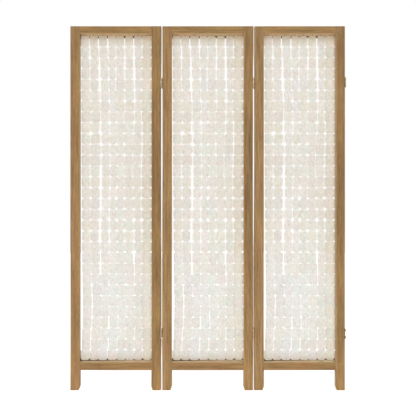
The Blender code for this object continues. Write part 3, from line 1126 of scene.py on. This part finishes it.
hinge = {
    "height": 0.050,
    "barrel": 0.0026,
    "plate": 0.0012,
    "slotReach": 0.0029,
    "knuckleHalf": 0.0090,
    "zoneHalf": 0.0093,
    "pinX": 0.0018,
    "pinY": 0.0170,
    "pinRadius": 0.0012,
    "pinHalf": 0.0258,
    "sparePinHalf": 0.0249,
    "leafDepth": 0.0270,
    "cornerRound": 0.0035,
    "plateRound": 0.0002,
    "tabRound": 0.00015,
    "knuckleRound": 0.00035,
    "pinRound": 0.0005,
    "sparePinRound": 0.0003,
    "overlap": 0.0004,
    "sides": 20,
    "pinSides": 14,
    "cornerSteps": 4,
    "pinSteps": 3,
    "smoothAngle": 40,
}
hingeScrew = {
    "sides": 16,
    "radius": 0.0025,
    "thickness": 0.0005,
    "round": 0.00025,
    "rim": 0.0003,
    "slotHalf": 0.0003,
    "slotDepth": 0.0003,
    "slotMiddle": 0.0001,
    "raised": 0.0001,
    "topFacing": 0.99,
    "faceShare": 0.6,
    "slotTurn": 0.5,
    "turnEach": 0.7,
    "places": ((0.0105, -0.0175), (0.0195, 0.0), (0.0105, 0.0175)),
}


def modelScrew():
    # a raised head that faces +X, with a cut slot
    sizes = hingeScrew
    deselectAll()
    radius, thickness = (sizes["radius"], sizes["thickness"])
    bpy.ops.mesh.primitive_cylinder_add(vertices=sizes["sides"], radius=radius, depth=thickness)
    screw = bpy.context.object
    softenEdges(screw, lambda a, b: min(a.z, b.z) > 0, sizes["round"], 2)

    def onTop(middle, normal):
        return normal.z > sizes["topFacing"]

    def withinRim(middle, normal):
        return onTop(middle, normal) and math.hypot(middle.x, middle.y) < radius * sizes["faceShare"]

    def inSlot(middle, normal):
        return onTop(middle, normal) and abs(middle.y) < sizes["slotMiddle"]

    selectFaces(screw, onTop)
    bpy.ops.mesh.inset(thickness=sizes["rim"])
    bpy.ops.mesh.bisect(plane_co=(0, sizes["slotHalf"], 0), plane_no=(0, 1, 0))
    leaveEdit()
    selectFaces(screw, withinRim)
    bpy.ops.mesh.bisect(plane_co=(0, -sizes["slotHalf"], 0), plane_no=(0, 1, 0))
    leaveEdit()
    selectFaces(screw, inSlot)
    bpy.ops.mesh.extrude_region_move(TRANSFORM_OT_translate={"value": (0, 0, -sizes["slotDepth"])})
    leaveEdit()
    screw.rotation_euler = (sizes["slotTurn"], math.pi / 2, 0)
    settle(screw)
    return screw


def addKnuckle(x, y, low, high):
    return addRod(x, y, low, high, hinge["barrel"], hinge["sides"], hinge["knuckleRound"])


def addPin(x, y, middle, half, bevel, steps=2):
    return addRod(x, y, middle - half, middle + half, hinge["pinRadius"], hinge["pinSides"], bevel, steps)


def modelLeaf(screw):
    # its barrel stands on the origin, and the plate lies behind it
    half = hinge["height"] / 2
    zone = hinge["zoneHalf"]
    outer = -hinge["barrel"]
    inner = outer + hinge["plate"]
    parts = [addBox((outer, hinge["slotReach"], -half), (inner, hinge["leafDepth"], half))]

    def atFarCorner(a, b):
        # the two corners of the plate that are away from the barrel
        return not near(a.x, b.x) and min(a.y, b.y) > hinge["leafDepth"] - samePlace

    softenEdges(parts[0], atFarCorner, hinge["cornerRound"], hinge["cornerSteps"])
    roundEdges(parts[0], hinge["plateRound"])
    reach = hinge["slotReach"] + hinge["overlap"]
    for low, high in ((-half, -zone), (zone, half)):
        parts.append(addBox((outer, 0.0, low), (inner, reach, high), hinge["tabRound"], 1))
        parts.append(addKnuckle(0, 0, low, high))
    for index, (y, z) in enumerate(hingeScrew["places"]):
        turn = Matrix.Rotation(hingeScrew["turnEach"] * index, 4, "X")
        place = Matrix.Translation((inner + hingeScrew["raised"], y, z))
        parts.append(copyAs("screw", screw, place @ turn))
    return finishAs("leafPattern", parts, hinge["smoothAngle"], agedBrass)


def modelLink():
    # drawn about the middle of the gap: front knuckle at -Y, back knuckle at +Y, both with their pins
    half = hinge["height"] / 2
    knuckle = hinge["knuckleHalf"]
    thin = hinge["plate"] / 2
    reach = hinge["pinY"] - hinge["slotReach"]
    parts = [addBox((-thin, -reach, -half), (thin, reach, half), hinge["plateRound"])]
    for side in (-1, 1):
        front, back = sorted((side * hinge["pinY"], side * (reach - hinge["overlap"])))
        parts.append(addBox((-thin, front, -knuckle), (thin, back, knuckle), hinge["tabRound"], 1))
        x, y = (side * hinge["pinX"], side * hinge["pinY"])
        parts.append(addKnuckle(x, y, -knuckle, knuckle))
        parts.append(addPin(x, y, 0, hinge["pinHalf"], hinge["pinRound"], hinge["pinSteps"]))
    return finishAs("linkPattern", parts, hinge["smoothAngle"], paleBrassPaintedLight)


screw = modelScrew()
leafPattern = modelLeaf(screw)
linkPattern = modelLink()


def placeLeaf(nodeName, body, turned, keepsPin=False):
    low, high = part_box(nodeName)
    radius = hinge["barrel"]
    middle = (low.z + high.z) / 2
    corner = (high.x - radius, high.y - radius) if turned else (low.x + radius, low.y + radius)
    place = Matrix.Translation((*corner, middle)) @ Matrix.Rotation(math.pi if turned else 0, 4, "Z")
    piece = copyAs(nodeName + "_dressed", leafPattern, place)
    if keepsPin:
        # a spare leaf that still has its pin and the loose knuckle on it
        knuckle = addKnuckle(*corner, middle - hinge["knuckleHalf"], middle + hinge["knuckleHalf"])
        pin = addPin(*corner, middle, hinge["sparePinHalf"], hinge["sparePinRound"])
        for part in (knuckle, pin):
            smooth(part, hinge["smoothAngle"])
            paint(part, agedBrass)
        piece = joinAs(nodeName + "_dressed", [knuckle, pin, piece])
    if nodeName.startswith("spare"):
        paint(piece, darkBrass)
    # the back leaves of the upper hinges take the paler brass as painted light
    elif turned and "upper" in nodeName:
        paint(piece, paleBrassPaintedLight)
    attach(piece, body)
    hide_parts(nodeName)


def placeLink(nodeName, body):
    low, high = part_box(nodeName)
    piece = copyAs(nodeName + "_dressed", linkPattern, Matrix.Translation((low + high) / 2))
    if "lower" in nodeName:
        # the lower hinges are duller
        paint(piece, agedBrass)
    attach(piece, body)
    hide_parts(nodeName)


for place in ("upper", "lower"):
    for gap, before, behind in (("left", "left", "middle"), ("right", "middle", "right")):
        placeLeaf(f"{gap}_{place}_hinge_front_leaf", panels[before], False)
        placeLink(f"{gap}_{place}_hinge_link", f"{gap}_link")
        placeLeaf(f"{gap}_{place}_hinge_back_leaf", panels[behind], True)
    placeLeaf(f"spare_{place}_hinge_leaf", "right_panel", False, keepsPin=place == "upper")
for pattern in (screw, leafPattern, linkPattern):
    bpy.data.objects.remove(pattern)
print("hinges fitted")


# Studio: white floor and surround, soft light, and the camera of the photograph

studio = {
    "surroundLight": 0.60,
    "keyStrength": 1.75,
    "keySoftness": 38.0,
    "keyFrom": (0.12, -0.43, 0.85),
    "keyAway": 4,
    "floorRadius": 9.0,
    "floorSides": 64,
    "floorDrop": 0.0003,
    "floorTone": 0.85,
    "floorLift": 0.60,
    "sensorWidth": 36.0,
    "farthest": 60.0,
    "cameraPlace": (-0.001, -2.814, 0.9015),
    "viewWidth": 2.0557,
    "viewDistance": 2.8,
}


def seenDirectly(tree):
    # 1 where the camera, a reflection or glass looks at it, 0 for the light that it sheds
    rays = addNode(tree, "ShaderNodeLightPath").outputs
    shine = mathNode(tree, "MAXIMUM", rays["Is Camera Ray"], rays["Is Glossy Ray"])
    return mathNode(tree, "MAXIMUM", shine, rays["Is Transmission Ray"])


def buildSurround():
    world = bpy.data.worlds.new("whiteSurround")
    bpy.context.scene.world = world
    world.use_nodes = True
    tree = world.node_tree
    backdrop = tree.nodes["Background"]
    backdrop.inputs["Color"].default_value = (1, 1, 1, 1)
    strength = spread(tree, seenDirectly(tree), 0.0, 1.0, studio["surroundLight"])
    tree.links.new(strength, backdrop.inputs["Strength"])


def buildFloor():
    deselectAll()
    place = (0, 0, -studio["floorDrop"])
    sides, radius = (studio["floorSides"], studio["floorRadius"])
    bpy.ops.mesh.primitive_circle_add(vertices=sides, radius=radius, fill_type="NGON", location=place)
    floor = bpy.context.object
    floor.name = "studioFloor"
    settle(floor)
    material, tree, shader = newMaterial("whiteFloor")
    tree.nodes.remove(shader)
    tone = studio["floorTone"]
    paper = addNode(tree, "ShaderNodeBsdfDiffuse", {"Color": (tone, tone, tone, 1)})
    lift = spread(tree, seenDirectly(tree), 0.0, 1.0, 0.0, studio["floorLift"])
    glow = addNode(tree, "ShaderNodeEmission", {"Color": (1, 1, 1, 1), "Strength": lift})
    both = addNode(tree, "ShaderNodeAddShader", {0: paper.outputs[0], 1: glow.outputs[0]})
    tree.links.new(both.outputs[0], tree.nodes["Material Output"].inputs["Surface"])
    paint(floor, material)


def addKeyLight():
    # one even soft light from above, in front and a little to the right
    data = bpy.data.lights.new("keyLight", "SUN")
    data.energy = studio["keyStrength"]
    data.angle = math.radians(studio["keySoftness"])
    key = newObject("keyLight", data)
    key.location = Vector(studio["keyFrom"]) * studio["keyAway"]
    key.rotation_euler = Vector(studio["keyFrom"]).to_track_quat("Z", "Y").to_euler()


def addCamera():
    data = bpy.data.cameras.new("photoCamera")
    data.sensor_width = studio["sensorWidth"]
    data.sensor_fit = "HORIZONTAL"
    data.lens = studio["sensorWidth"] * studio["viewDistance"] / studio["viewWidth"]
    data.clip_end = studio["farthest"]
    camera = newObject("photoCamera", data)
    camera.location = studio["cameraPlace"]
    camera.rotation_euler = (math.pi / 2, 0, 0)
    bpy.context.scene.camera = camera


buildSurround()
buildFloor()
addKeyLight()
addCamera()
bpy.context.scene.view_settings.view_transform = "Standard"
print("studio set")
